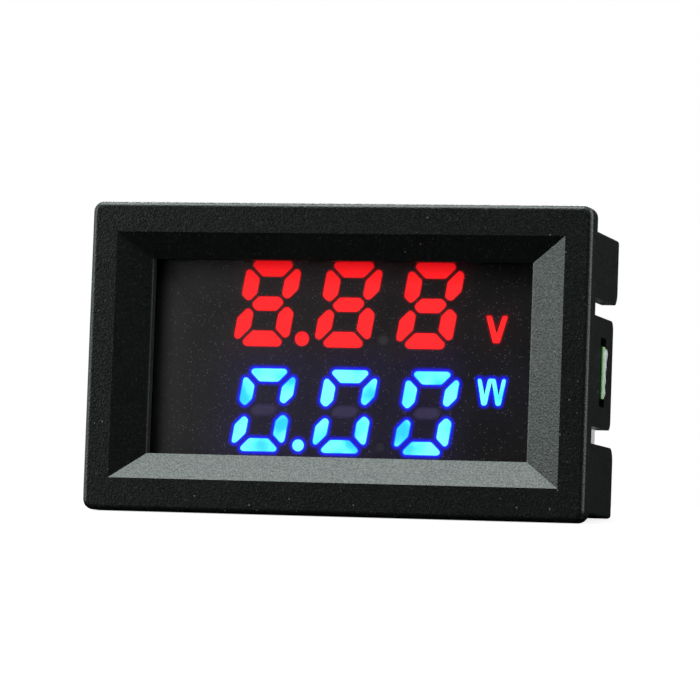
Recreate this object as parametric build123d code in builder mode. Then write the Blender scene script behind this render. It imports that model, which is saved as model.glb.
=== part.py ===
from build123d import *
import os
from math import radians, sqrt, tan

# Snap-in digital panel meter with a red and a blue row of digits.
# Millimetres. The origin is the centre of the panel plane: +X to the right of the face,
# +Y into the panel, +Z up.

# Bezel: a frame whose back rests on the panel
bezel_width = 48.0
bezel_height = 29.0
bezel_thickness = 2.4
bezel_corner_radius = 1.0
bezel_edge_radius = 0.5

# Recess of the bezel: a flat frame, then slopes that run down to the window
frame_side = 2.5
frame_top = 2.95
slope_side = 3.25
slope_top = 2.4
slope_depth = 1.45
window_rise = 0.1

# Sleeve that goes through the panel cut-out
flange_side = 1.5
flange_top = 1.2
sleeve_drop = 0.2
sleeve_corner_radius = 0.3
sleeve_rear_room = 4.95
wall = 1.25

# Side tongues, parted by slits, with a snap wedge on the middle one
tongue_root = 3.6
slit_spacing = 12.0
slit_width = 1.6
slit_rise = 0.2
tongue_setback = 1.5
tongue_corner_radius = 0.9
slit_mouth_radius = 1.3
rear_edge_radius = 0.4
thickest_panel = 2.1
snap_height = 0.6
snap_length = 4.3
snap_width = 6.0
snap_root = 0.4

# Slot of the middle tongue for the board's ear
slot_height = 6.5
slot_rise = 0.27
slot_front_clearance = 0.5
slot_rear_clearance = 0.2
ear_side_clearance = 0.8

# Smoked filter glued behind the window
filter_thickness = 0.5
filter_lap = 1.2

# Display module
display_gap = 0.05
display_lap = 0.75
display_thickness = 8.0
display_rise = 0.2
shell_rim = 1.2
base_thickness = 0.8
base_clearance = 0.1
foot_size = 1.6
foot_clearance = 0.55
foot_height = 2.0
fill_clearance = 0.02
die_size = 0.35
die_height = 0.15
die_space = 0.3

# Digits: three in a row, with the unit mark in a column at the right.
# The blank and the unit column are shares of the window, a digit of its pitch, a stroke of the digit
digit_count = 3
segment_count = 7
row_gap = 1.92
row_margin = 0.14
left_share = 0.1893
unit_share = 0.1655
digit_share = 0.688
stroke_share = 0.278
middle_bar = 1.36
slant = 9.0
segment_gap = 0.3
corner_cut = 0.75
joint_cut = 0.5
point_radius = 0.7
point_share = 0.4395
point_drop = 0.78

# Unit marks, placed by shares of the unit column from the window's right edge
mark_height = 2.55
mark_offset = 2.9
volt_share = 0.594
volt_width = 2.1
volt_stroke = 0.54
volt_foot = 0.64
watt_share = 0.644
watt_width = 1.46
watt_spacing = 1.34
watt_stroke = 0.42
watt_foot = 0.5

# Display pins
pin_count = 7
pin_pitch = 2.0
pin_size = 0.5
pin_inset = 2.28
pin_stickout = 0.9

# Circuit board
board_clearance = 0.25
board_thickness = 1.6
hole_clearance = 0.1

# Chips with leads, in one row from the left: body size and leads on each side
chips = {
    "driver_chip": dict(length=9.9, width=3.9, height=1.5, leads=8, pitch=1.27, lead=0.4),
    "controller_chip": dict(length=6.5, width=4.4, height=1.0, leads=10, pitch=0.65, lead=0.24),
    "amplifier_chip": dict(length=4.9, width=3.9, height=1.5, leads=4, pitch=1.27, lead=0.4),
}
lead_thickness = 0.18
lead_reach = 1.05
lead_foot = 0.55
chip_standoff = 0.1

# Regulator with three leads and a tab, near the top edge and left of the diode
regulator_offset = 5.6
regulator_edge = 3.4
regulator_length = 4.5
regulator_width = 2.5
regulator_height = 1.5
regulator_pitch = 1.5
regulator_leads = 3
regulator_lead = 0.45
regulator_lead_thickness = 0.36
regulator_tab = 1.7
regulator_reach = 0.8

# Input diode, upright at the right edge
diode_edge = 3.2
diode_z = 5.2
diode_length = 4.3
diode_width = 2.6
diode_height = 2.1
diode_terminal = 1.4
diode_reach = 0.35

# Shunt: one bent wire above the load header
shunt_edge = 2.6
shunt_span = 8.0
shunt_gap = 1.95
shunt_radius = 0.75
shunt_facets = 12
shunt_height = 4.3
shunt_bend = 1.8
shunt_stickout = 0.9

# Shrouded headers at the lower corners
headers = {
    "supply": dict(side=-1, pins=3, pitch=2.5, length=9.9, width=5.75, pin=0.64),
    "load": dict(side=1, pins=2, pitch=3.96, length=9.0, width=7.0, pin=1.14),
}
header_height = 6.9
header_wall = 0.75
header_floor = 2.0
header_edge = 0.7
header_key = 1.0
header_pin_fit = 0.02
header_pin_inset = 0.9
header_pin_stickout = 1.2

# Trimmers near the top left corner, each with a slotted rotor in a round seat
trimmers = {"voltage": 3.2, "current": 8.6}
trimmer_edge = 2.9
trimmer_length = 3.8
trimmer_width = 3.6
trimmer_height = 1.4
rotor_radius = 1.2
rotor_clearance = 0.05
rotor_thickness = 0.8
rotor_proud = 0.12
driver_slot_length = 1.8
driver_slot_width = 0.35
driver_slot_depth = 0.35
trimmer_terminal = 0.7
trimmer_reach = 0.4
trimmer_terminal_height = 0.6

# Small chip parts: a row of capacitors under the chips and a row of resistors over them
chip_length = 1.6
chip_width = 0.8
chip_terminal = 0.3
capacitor_height = 0.8
capacitor_count = 6
capacitor_pitch = 2.4
resistor_height = 0.45
resistor_count = 7
resistor_pitch = 1.9

# Adhesive bead beside the right ear
bead_top_width = 1.35
bead_foot_width = 0.45
bead_thickness = 0.12
bead_end_gap = 0.15

# Sizes that follow from the driving ones
rim_width = bezel_width - 2 * frame_side
rim_height = bezel_height - 2 * frame_top
window_width = rim_width - 2 * slope_side
window_height = rim_height - 2 * slope_top
sleeve_width = bezel_width - 2 * flange_side
sleeve_height = bezel_height - 2 * flange_top
sleeve_top = sleeve_height / 2 - sleeve_drop
sleeve_foot = sleeve_top - sleeve_height
slits_z = slit_rise - sleeve_drop
middle_tongue = slit_spacing - slit_width
inner_width = sleeve_width - 2 * wall
inner_height = sleeve_height - 2 * wall

display_face = filter_thickness + display_gap
display_width = window_width + 2 * display_lap
display_height = window_height + 2 * display_lap
display_back = display_face + display_thickness
display_z = window_rise + display_rise
base_width = display_width - 2 * shell_rim
base_height = display_height - 2 * shell_rim
base_front = display_back - base_thickness

board_front = display_back + foot_height
board_back = board_front + board_thickness
board_width = inner_width - 2 * board_clearance
board_height = inner_height - 2 * board_clearance
board_z = -sleeve_drop
board_top = board_z + board_height / 2
board_bottom = board_z - board_height / 2

sleeve_depth = board_back + sleeve_rear_room
slot_front = board_front - slot_front_clearance
slot_rear = board_back + slot_rear_clearance
slot_z = board_z + slot_rise
ear_height = slot_height - 2 * ear_side_clearance

left_blank = left_share * window_width
unit_column = unit_share * window_width
digit_height = (window_height - row_gap - 2 * row_margin) / 2
digit_pitch = (window_width - left_blank - unit_column) / digit_count
digit_width = digit_share * digit_pitch
stroke = stroke_share * digit_width
row_pitch = digit_height + row_gap
row_z = {"red": display_z + row_pitch / 2, "blue": display_z - row_pitch / 2}
middle_digit_x = (left_blank - unit_column) / 2
digit_x = {
    "left": middle_digit_x - digit_pitch,
    "middle": middle_digit_x,
    "right": middle_digit_x + digit_pitch,
}
point_offset = point_share * digit_pitch
point_z = -digit_height / 2 + point_drop

pin_row_spacing = display_height - 2 * pin_inset

diode_x = board_width / 2 - diode_edge
regulator_x = diode_x - regulator_offset
regulator_z = board_top - regulator_edge
load_header_top = board_bottom + header_edge + headers["load"]["width"]
shunt_z = load_header_top + shunt_gap + shunt_radius
shunt_right = board_width / 2 - shunt_edge
shunt_left = shunt_right - shunt_span
shunt_legs = [(shunt_left, shunt_z), (shunt_right, shunt_z)]

# The display's feet stand clear of the shunt's ends
foot_spacing = 2 * (display_z - shunt_z + shunt_radius + foot_clearance) + foot_size

# The chips share the row between the board's left edge and the shunt with equal gaps
chip_lengths = sum(chip["length"] for chip in chips.values())
chip_gap = (shunt_left - shunt_radius + board_width / 2 - chip_lengths) / (len(chips) + 1)
chip_x = {}
chip_start = -board_width / 2
for name, chip in chips.items():
    chip_x[name] = chip_start + chip_gap + chip["length"] / 2
    chip_start += chip_gap + chip["length"]

# Resistors, chips and capacitors lie in three rows between the rows of display pins, with equal gaps
chip_row_height = max(chip["width"] for chip in chips.values()) + 2 * lead_reach
row_room = (pin_row_spacing - pin_size - chip_row_height - 2 * chip_length) / 4
chip_z = display_z
resistor_z = chip_z + chip_row_height / 2 + row_room + chip_length / 2
capacitor_z = chip_z - chip_row_height / 2 - row_room - chip_length / 2

os.makedirs("parts", exist_ok=True)


def face_plane(y):
    """Plane parallel to the meter's face at depth y, looked at from the front."""
    return Plane.XZ.offset(-y)


def save(builder, name):
    """Label a finished piece and write it."""
    builder.part.label = name
    export_step(builder.part, f"parts/{name}.step")


# Housing: sleeve, cut to the side tongues' outline
with BuildPart() as housing:
    with BuildSketch(face_plane(0)):
        with Locations((0, -sleeve_drop)):
            RectangleRounded(sleeve_width, sleeve_height, sleeve_corner_radius)
            Rectangle(inner_width, inner_height, mode=Mode.SUBTRACT)
    extrude(amount=-sleeve_depth)
    middle_depth = sleeve_depth - tongue_setback
    slit_reach = (slit_spacing + slit_width) / 2
    with BuildSketch(Plane.YZ) as tongues:
        with Locations((tongue_root / 2, -sleeve_drop)):
            Rectangle(tongue_root, sleeve_height)
        with Locations((middle_depth / 2, slits_z)):
            RectangleRounded(middle_depth, middle_tongue, tongue_corner_radius)
        for low, high in ((slits_z + slit_reach, sleeve_top), (sleeve_foot, slits_z - slit_reach)):
            with Locations((sleeve_depth / 2, (low + high) / 2)):
                Rectangle(sleeve_depth, high - low)
        # large radii at the mouths of the slits, small ones at the sleeve's rear edges
        ends = tongues.vertices().group_by(Axis.X)[-1].sort_by(Axis.Y)
        fillet(ends[1:-1], slit_mouth_radius)
        ends = tongues.vertices().group_by(Axis.X)[-1].sort_by(Axis.Y)
        fillet([ends[0], ends[-1]], rear_edge_radius)
    extrude(amount=sleeve_width, both=True, mode=Mode.INTERSECT)

    # Snap wedges: a square catch towards the panel, a long ramp towards the back
    with BuildSketch(Plane.XY.offset(slits_z - snap_width / 2)):
        outside = sleeve_width / 2
        for side in (-1, 1):
            Polygon(
                (side * (outside - snap_root), thickest_panel),
                (side * (outside + snap_height), thickest_panel),
                (side * outside, thickest_panel + snap_length),
                (side * (outside - snap_root), thickest_panel + snap_length),
                align=None,
            )
    extrude(amount=snap_width)

    # Slots for the board's ears
    with BuildSketch(Plane.YZ):
        with Locations(((slot_front + slot_rear) / 2, slot_z)):
            Rectangle(slot_rear - slot_front, slot_height)
    extrude(amount=sleeve_width, both=True, mode=Mode.SUBTRACT)

    # Bezel plate with its rounded front edge
    with BuildSketch(face_plane(0)):
        RectangleRounded(bezel_width, bezel_height, bezel_corner_radius)
    extrude(amount=bezel_thickness)
    fillet(housing.faces().sort_by(Axis.Y)[0].edges(), bezel_edge_radius)

    # Sloped recess and the window behind it
    with BuildSketch(face_plane(-bezel_thickness)):
        with Locations((0, window_rise)):
            Rectangle(rim_width, rim_height)
    with BuildSketch(face_plane(slope_depth - bezel_thickness)):
        with Locations((0, window_rise)):
            Rectangle(window_width, window_height)
    loft(mode=Mode.SUBTRACT)
    with BuildSketch(face_plane(slope_depth - bezel_thickness)):
        with Locations((0, window_rise)):
            Rectangle(window_width, window_height)
    extrude(amount=-(bezel_thickness - slope_depth), mode=Mode.SUBTRACT)
save(housing, "housing")


# Filter sheet against the back of the bezel
with BuildPart() as filter_window:
    with BuildSketch(face_plane(0)):
        with Locations((0, window_rise)):
            Rectangle(window_width + 2 * filter_lap, window_height + 2 * filter_lap)
    extrude(amount=-filter_thickness)
save(filter_window, "filter_window")


def digit_outline():
    """Seven segments of a slanted digit about its own centre, parted by narrow cuts at 45 degrees."""
    lean = tan(radians(slant))
    half_width = digit_width / 2
    half_height = digit_height / 2
    inner = half_width - stroke
    counter_low = middle_bar / 2
    counter_high = half_height - stroke
    cut_length = 3 * stroke

    def slanted(x, z):
        return (x + lean * z, z)

    def block(x, low, high):
        return [slanted(-x, low), slanted(x, low), slanted(x, high), slanted(-x, high)]

    with BuildSketch() as outline:
        Polygon(*block(half_width, -half_height, half_height), align=None)
        chamfer(outline.vertices(), corner_cut)
        for up in (-1, 1):
            low, high = sorted((up * counter_low, up * counter_high))
            Polygon(*block(inner, low, high), align=None, mode=Mode.SUBTRACT)
            for side in (-1, 1):
                # each cut starts inside a corner of the counter and runs outwards
                for corner_z, turn in ((up * counter_high, up * side), (up * counter_low, -up * side)):
                    x, z = slanted(side * inner, corner_z)
                    ahead = side * (cut_length / 2 - segment_gap) / sqrt(2)
                    with Locations(Location((x + ahead, z + turn * ahead), 45 * turn)):
                        Rectangle(cut_length, segment_gap, mode=Mode.SUBTRACT)
        for side in (-1, 1):
            # the three tips that meet at the waist are blunt
            with Locations((side * (inner + counter_low), 0)):
                Rectangle(joint_cut, joint_cut, mode=Mode.SUBTRACT)
    return outline.sketch.faces().sort_by(SortBy.AREA)[-segment_count:]


def vee(width, foot, line):
    """Outline of a plain V with flat feet, about its own centre."""
    top = mark_height / 2
    return Polygon(
        (-width / 2, top),
        (-foot / 2, -top),
        (foot / 2, -top),
        (width / 2, top),
        (width / 2 - line, top),
        (0, -top + line * mark_height / (width - line)),
        (-width / 2 + line, top),
        align=None,
    )


digit_segments = digit_outline()
middle_bar_face = ShapeList(digit_segments).sort_by_distance((0, 0, 0))[0]
lit_faces = {
    "red": list(digit_segments),
    "blue": [face for face in digit_segments if face is not middle_bar_face],
}
digit_places = {(row, column): (digit_x[column], row_z[row]) for row in row_z for column in digit_x}
point_columns = ("left", "middle")
lit_point_column = "left"
volt_x = window_width / 2 - volt_share * unit_column
watt_x = window_width / 2 - watt_share * unit_column
mark_places = {
    "volt": (volt_x, display_z + mark_offset),
    "watt": (watt_x, display_z - mark_offset),
}
foot_drop = mark_height / 2 - die_size
mark_feet = {
    "volt": [(volt_x, display_z + mark_offset - foot_drop)],
    "watt": [(watt_x + side * watt_spacing / 2, display_z - mark_offset - foot_drop) for side in (-1, 1)],
}


def point_place(row, column):
    """Centre of the decimal point behind a digit."""
    x, z = digit_places[row, column]
    return (x + point_offset, z + point_z)


with BuildSketch() as volt_outline:
    vee(volt_width, volt_foot, volt_stroke)
with BuildSketch() as watt_outline:
    with GridLocations(watt_spacing, 0, 2, 1):
        vee(watt_width, watt_foot, watt_stroke)
mark_outlines = {"volt": volt_outline.sketch, "watt": watt_outline.sketch}

# Display shell: a dark block with one cavity for each segment, point and mark
with BuildPart() as display_shell:
    with BuildSketch(face_plane(display_face)):
        with Locations((0, display_z)):
            Rectangle(display_width, display_height)
    extrude(amount=-display_thickness)
    with BuildSketch(face_plane(base_front)):
        with Locations((0, display_z)):
            Rectangle(base_width, base_height)
    extrude(amount=-base_thickness, mode=Mode.SUBTRACT)
    with BuildSketch(face_plane(display_face)):
        for place in digit_places.values():
            with Locations(place):
                add(digit_segments)
        for row in row_z:
            for column in point_columns:
                with Locations(point_place(row, column)):
                    Circle(point_radius)
        for name, place in mark_places.items():
            with Locations(place):
                add(mark_outlines[name])
    extrude(amount=-(display_thickness - base_thickness), mode=Mode.SUBTRACT)
    with BuildSketch(face_plane(display_back)):
        with Locations((0, display_z)):
            with GridLocations(display_width - foot_size, foot_spacing, 2, 2):
                Rectangle(foot_size, foot_size)
            Rectangle(base_width, base_height, mode=Mode.SUBTRACT)
    extrude(amount=-foot_height)
save(display_shell, "display_shell")


# Base board of the display, in the shell's back
with BuildPart() as display_base:
    with BuildSketch(face_plane(base_front)):
        with Locations((0, display_z)):
            Rectangle(base_width - 2 * base_clearance, base_height - 2 * base_clearance)
    extrude(amount=-base_thickness)
save(display_base, "display_base")


fill_depth = base_front - die_space - display_face


def cast_fill(faces_at, points=()):
    """Outline of cast fills in their cavities: faces at their places, and round points."""
    with BuildSketch(face_plane(display_face)) as fill:
        for faces, place in faces_at:
            with Locations(place):
                for face in faces:
                    add(offset(face, -fill_clearance, kind=Kind.INTERSECTION, mode=Mode.PRIVATE))
        for place in points:
            with Locations(place):
                Circle(point_radius - fill_clearance)
    return fill.sketch


for (row, column), place in digit_places.items():
    lit_points = [point_place(row, column)] if column == lit_point_column else []
    with BuildPart() as digit:
        extrude(cast_fill([(lit_faces[row], place)], lit_points), amount=-fill_depth)
    save(digit, f"{row}_digit_{column}")

unlit_bars = [([middle_bar_face], digit_places["blue", column]) for column in digit_x]
dark_columns = [column for column in point_columns if column != lit_point_column]
unlit_points = [point_place(row, column) for row in row_z for column in dark_columns]
with BuildPart() as unlit_segments:
    extrude(cast_fill(unlit_bars, unlit_points), amount=-fill_depth)
save(unlit_segments, "unlit_segments")

for name, place in mark_places.items():
    with BuildPart() as unit_mark:
        extrude(cast_fill([(mark_outlines[name].faces(), place)]), amount=-fill_depth)
    save(unit_mark, f"{name}_mark")


# Light-emitting dies on the base, one under each segment, point and foot of a mark
for row, mark in (("red", "volt"), ("blue", "watt")):
    centres = [face.center() for face in digit_segments]
    places = [(x + c.X, z + c.Y) for (r, _), (x, z) in digit_places.items() if r == row for c in centres]
    places += [point_place(row, column) for column in point_columns]
    places += mark_feet[mark]
    with BuildPart() as dies:
        with BuildSketch(face_plane(base_front)):
            with Locations(*places):
                Rectangle(die_size, die_size)
        extrude(amount=die_height)
    save(dies, f"{row}_led_chips")


# Display pins: two rows from the base through the board
with BuildPart() as display_pins:
    with BuildSketch(face_plane(display_back)):
        with Locations((0, display_z)):
            with GridLocations(pin_pitch, pin_row_spacing, pin_count, 2):
                Rectangle(pin_size, pin_size)
    extrude(amount=-(board_back + pin_stickout - display_back))
save(display_pins, "display_pins")


def header_place(header):
    """Centre of a header on the board, in its lower corner."""
    x = header["side"] * (board_width / 2 - header_edge - header["length"] / 2)
    return (x, board_bottom + header_edge + header["width"] / 2)


def header_pin_places(header):
    """Places of a header's pins on the board."""
    x, z = header_place(header)
    first = x - header["pitch"] * (header["pins"] - 1) / 2
    return [(first + i * header["pitch"], z) for i in range(header["pins"])]


# Circuit board with an ear on each side and a hole for each pin
with BuildPart() as circuit_board:
    with BuildSketch(face_plane(board_front)):
        with Locations((0, board_z)):
            Rectangle(board_width, board_height)
        with Locations((0, slot_z)):
            Rectangle(sleeve_width, ear_height)
        with Locations((0, display_z)):
            with GridLocations(pin_pitch, pin_row_spacing, pin_count, 2):
                hole = pin_size + 2 * hole_clearance
                Rectangle(hole, hole, mode=Mode.SUBTRACT)
        for header in headers.values():
            with Locations(*header_pin_places(header)):
                hole = header["pin"] + 2 * hole_clearance
                Rectangle(hole, hole, mode=Mode.SUBTRACT)
        with Locations(*shunt_legs):
            Circle(shunt_radius + hole_clearance, mode=Mode.SUBTRACT)
    extrude(amount=-board_thickness)
save(circuit_board, "circuit_board")


# Chips stand on their leads just clear of the board
for name, chip in chips.items():
    with BuildPart() as chip_body:
        with BuildSketch(face_plane(board_back + chip_standoff)):
            with Locations((chip_x[name], chip_z)):
                Rectangle(chip["length"], chip["width"])
        extrude(amount=-chip["height"])
    save(chip_body, name)

with BuildPart() as regulator_chip:
    with BuildSketch(face_plane(board_back)):
        with Locations((regulator_x, regulator_z)):
            Rectangle(regulator_length, regulator_width)
    extrude(amount=-regulator_height)
save(regulator_chip, "regulator_chip")

with BuildPart() as input_diode:
    with BuildSketch(face_plane(board_back + lead_thickness)):
        with Locations((diode_x, board_z + diode_z)):
            Rectangle(diode_width, diode_length)
    extrude(amount=-diode_height)
save(input_diode, "input_diode")


def gull_lead(x, z_side, out, half_height, width):
    """Side view of a bent lead: out of the body's side, down, and a foot along the board."""
    shoulder = lead_reach - lead_foot
    top = board_back + half_height
    with BuildSketch(Plane.YZ.offset(x - width / 2)) as lead:
        Polygon(
            (top, z_side),
            (top + lead_thickness, z_side),
            (top + lead_thickness, z_side + out * (shoulder + lead_thickness)),
            (board_back + lead_thickness, z_side + out * (shoulder + lead_thickness)),
            (board_back + lead_thickness, z_side + out * lead_reach),
            (board_back, z_side + out * lead_reach),
            (board_back, z_side + out * shoulder),
            (top, z_side + out * shoulder),
            align=None,
        )
    return lead.sketch


# Leads of the chips, the regulator and the diode
with BuildPart() as chip_leads:
    for name, chip in chips.items():
        for side in (-1, 1):
            for i in range(chip["leads"]):
                x = chip_x[name] + (i - (chip["leads"] - 1) / 2) * chip["pitch"]
                z = chip_z + side * chip["width"] / 2
                lead = gull_lead(x, z, side, chip_standoff + chip["height"] / 2, chip["lead"])
                extrude(lead, amount=chip["lead"])
    with BuildSketch(face_plane(board_back)):
        with Locations((regulator_x, regulator_z - (regulator_width + regulator_reach) / 2)):
            with GridLocations(regulator_pitch, 0, regulator_leads, 1):
                Rectangle(regulator_lead, regulator_reach)
        with Locations((regulator_x, regulator_z + (regulator_width + regulator_reach) / 2)):
            Rectangle(regulator_tab, regulator_reach)
    extrude(amount=-regulator_lead_thickness)
    with BuildSketch(face_plane(board_back)):
        with Locations((diode_x, board_z + diode_z)):
            with GridLocations(0, diode_length, 1, 2):
                Rectangle(diode_terminal, 2 * diode_reach)
    extrude(amount=-lead_thickness)
save(chip_leads, "chip_leads")


# Shunt: a wire bent to a staple, its legs through the board
with BuildPart() as shunt_wire:
    (left_x, leg_z), (right_x, _) = shunt_legs
    foot = board_front - shunt_stickout
    crown = board_back + shunt_height
    with BuildLine() as staple:
        FilletPolyline(
            (left_x, foot, leg_z), (left_x, crown, leg_z), (right_x, crown, leg_z), (right_x, foot, leg_z),
            radius=shunt_bend,
        )
    with BuildSketch(Plane(origin=(left_x, foot, leg_z), z_dir=(0, 1, 0))):
        RegularPolygon(shunt_radius, shunt_facets)
    sweep()
save(shunt_wire, "shunt_wire")


# Headers: a keyed shroud, open to the back, and its square pins
for name, header in headers.items():
    x, z = header_place(header)
    with BuildPart() as shroud:
        with BuildSketch(face_plane(board_back)):
            with Locations((x, z)):
                Rectangle(header["length"], header["width"])
            with Locations(*header_pin_places(header)):
                hole = header["pin"] + 2 * header_pin_fit
                Rectangle(hole, hole, mode=Mode.SUBTRACT)
        extrude(amount=-header_height)
        with BuildSketch(face_plane(board_back + header_floor)):
            with Locations((x, z)):
                Rectangle(header["length"] - 2 * header_wall, header["width"] - 2 * header_wall)
            with Locations((x, z + (header["width"] - header_wall) / 2)):
                with GridLocations(header["pitch"], 0, 2, 1):
                    Rectangle(header_key, 2 * header_wall)
        extrude(amount=-header_height, mode=Mode.SUBTRACT)
    save(shroud, f"{name}_header")

    with BuildPart() as header_pins:
        with BuildSketch(face_plane(board_front - header_pin_stickout)):
            with Locations(*header_pin_places(header)):
                Rectangle(header["pin"], header["pin"])
        pin_end = board_back + header_height - header_pin_inset
        extrude(amount=-(pin_end - board_front + header_pin_stickout))
    save(header_pins, f"{name}_pins")


# Trimmers: a square body with a round seat, and a cross-slotted rotor that turns in it
trimmer_z = board_top - trimmer_edge
trimmer_back = board_back + trimmer_height
for name, inset in trimmers.items():
    place = (-board_width / 2 + inset, trimmer_z)
    seat_depth = rotor_thickness + rotor_clearance - rotor_proud
    with BuildPart() as trimmer_body:
        with BuildSketch(face_plane(board_back)):
            with Locations(place):
                Rectangle(trimmer_length, trimmer_width)
        extrude(amount=-trimmer_height)
        with BuildSketch(face_plane(trimmer_back)):
            with Locations(place):
                Circle(rotor_radius + rotor_clearance)
        extrude(amount=seat_depth, mode=Mode.SUBTRACT)
    save(trimmer_body, f"{name}_trimmer_body")

    with BuildPart() as rotor:
        with BuildSketch(face_plane(trimmer_back + rotor_proud)):
            with Locations(place):
                Circle(rotor_radius)
        extrude(amount=rotor_thickness)
        with BuildSketch(face_plane(trimmer_back + rotor_proud)):
            with Locations(place):
                Rectangle(driver_slot_length, driver_slot_width)
                Rectangle(driver_slot_width, driver_slot_length)
        extrude(amount=driver_slot_depth, mode=Mode.SUBTRACT)
    save(rotor, f"{name}_trimmer_rotor")


# Chip capacitors and resistors: a body between two terminals
small_parts = {
    "chip_capacitors": (capacitor_count, capacitor_pitch, capacitor_z, capacitor_height),
    "chip_resistors": (resistor_count, resistor_pitch, resistor_z, resistor_height),
}
for name, (count, pitch, z, height) in small_parts.items():
    with BuildPart() as small_part:
        with BuildSketch(face_plane(board_back)):
            with Locations((0, z)):
                with GridLocations(pitch, 0, count, 1):
                    Rectangle(chip_width, chip_length - 2 * chip_terminal)
        extrude(amount=-height)
    save(small_part, name)

# Terminals of the chip parts and of the trimmers
with BuildPart() as chip_terminals:
    for count, pitch, z, height in small_parts.values():
        with BuildSketch(face_plane(board_back)):
            with Locations((0, z)):
                with GridLocations(pitch, chip_length - chip_terminal, count, 2):
                    Rectangle(chip_width, chip_terminal)
        extrude(amount=-height)
    with BuildSketch(face_plane(board_back)):
        for inset in trimmers.values():
            x = -board_width / 2 + inset
            with Locations((x, trimmer_z - (trimmer_width + trimmer_reach) / 2)):
                with GridLocations(trimmer_length - trimmer_terminal, 0, 2, 1):
                    Rectangle(trimmer_terminal, trimmer_reach)
            with Locations((x, trimmer_z + (trimmer_width + trimmer_reach) / 2)):
                Rectangle(trimmer_terminal, trimmer_reach)
    extrude(amount=-trimmer_terminal_height)
save(chip_terminals, "chip_terminals")


# Adhesive bead on the right tongue, wide at the top and thin at the foot, over the ear's edge
with BuildPart() as adhesive_bead:
    bead_top = slot_z + ear_height / 2 - bead_end_gap
    bead_foot = slot_z - ear_height / 2 + bead_end_gap
    bead_start = board_back - bead_end_gap
    with BuildSketch(Plane.YZ.offset(sleeve_width / 2)):
        with BuildLine():
            Polyline(
                (bead_start + bead_foot_width, bead_foot),
                (bead_start, bead_foot),
                (bead_start, bead_top),
                (bead_start + bead_top_width, bead_top),
            )
            Spline(
                (bead_start + bead_top_width, bead_top),
                (bead_start + bead_foot_width, slot_z),
                (bead_start + bead_foot_width, bead_foot),
            )
        make_face()
    extrude(amount=bead_thickness)
save(adhesive_bead, "adhesive_bead")
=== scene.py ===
# %% [markdown]
# # A snap-in panel meter
# The solids of this meter are already built and packed: a black moulding, a smoked sheet, a display with
# cast segments, and a circuit board with its parts. This lesson gives them their finish, adds the fine
# pieces that solids are too coarse for, and sets up the light and the camera of a product photograph.
# The imported model is loaded as a fixed frame in metres.

# %% Load the frame
import bpy
import numpy as np
from mathutils import Matrix, Vector


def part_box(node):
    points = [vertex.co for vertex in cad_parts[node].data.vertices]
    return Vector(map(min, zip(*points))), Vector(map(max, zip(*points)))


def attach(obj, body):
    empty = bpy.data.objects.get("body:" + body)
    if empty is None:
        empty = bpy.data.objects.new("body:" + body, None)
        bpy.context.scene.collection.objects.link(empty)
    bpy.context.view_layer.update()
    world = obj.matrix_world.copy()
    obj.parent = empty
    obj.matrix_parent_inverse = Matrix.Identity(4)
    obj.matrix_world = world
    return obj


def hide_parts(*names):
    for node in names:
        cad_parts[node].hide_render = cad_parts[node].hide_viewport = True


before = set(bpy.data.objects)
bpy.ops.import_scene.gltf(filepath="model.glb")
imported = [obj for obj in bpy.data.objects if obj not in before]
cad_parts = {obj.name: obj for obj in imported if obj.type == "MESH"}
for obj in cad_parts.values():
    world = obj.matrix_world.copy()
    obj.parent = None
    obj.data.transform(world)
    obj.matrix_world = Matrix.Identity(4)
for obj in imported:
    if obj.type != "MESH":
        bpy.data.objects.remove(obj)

MM = 0.001
scene = bpy.context.scene
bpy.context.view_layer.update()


def box_mm(node):
    """Lowest and highest corner of a CAD node, in millimetres."""
    low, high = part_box(node)
    return np.array(low) / MM, np.array(high) / MM


# %% [markdown]
# ## Camera
# The picture was taken from a little right of the face and slightly below its normal, from about 0.4 m with
# a long lens, and it is turned clockwise by two degrees. The place and the angles come from the corners of
# the bezel and its window. The camera looks along the ray of the picture's middle, so it needs no shift.

# %% Camera
YAW, PITCH, ROLL = np.radians([15.38, -3.66, 2.04])
FOCAL_PIXELS = 4347.3
FRAME_PIXELS = 700
MIDDLE_RAY = (16.2 / FOCAL_PIXELS, 9.0 / FOCAL_PIXELS)
CAMERA_DISTANCE = 401.8
FACE_CENTRE = np.array([0, -2.4, 0])

towards = np.array([np.sin(YAW) * np.cos(PITCH), -np.cos(YAW) * np.cos(PITCH), np.sin(PITCH)])
place = towards * CAMERA_DISTANCE + FACE_CENTRE
right = np.cross(-towards, (0, 0, 1))
right /= np.linalg.norm(right)
up = np.cross(right, -towards)
right, up = np.cos(ROLL) * right + np.sin(ROLL) * up, np.cos(ROLL) * up - np.sin(ROLL) * right
ahead = -towards + MIDDLE_RAY[0] * right + MIDDLE_RAY[1] * up
ahead /= np.linalg.norm(ahead)
right -= ahead * (right @ ahead)
right /= np.linalg.norm(right)
up = np.cross(right, ahead)

lens = bpy.data.cameras.new("photo_camera")
lens.sensor_fit = "HORIZONTAL"
lens.angle = 2 * np.arctan(FRAME_PIXELS / 2 / FOCAL_PIXELS)
lens.clip_start, lens.clip_end = 0.01, 10
camera = bpy.data.objects.new("photo_camera", lens)
scene.collection.objects.link(camera)
aim = Matrix(np.array([right, up, -ahead]).T).to_4x4()
camera.matrix_world = Matrix.Translation(Vector(place * MM)) @ aim
scene.camera = camera
print("camera at", np.round(place), "mm, lens", round(lens.lens, 1), "mm")

# %% [markdown]
# ## Node helpers
# Every finish is a node tree. One helper feeds a node's inputs: a socket given to it is linked, any other
# value is set. The next adds a node with its inputs, and two more add the usual sums and blends, so a tree
# reads like a formula.

# %% Node helpers
def feed(node, key, value):
    """Fill a node's input, by name or number: a socket is linked, any other value is set."""
    if isinstance(value, bpy.types.NodeSocket):
        node.id_data.links.new(value, node.inputs[key])
    else:
        node.inputs[key].default_value = value


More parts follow.
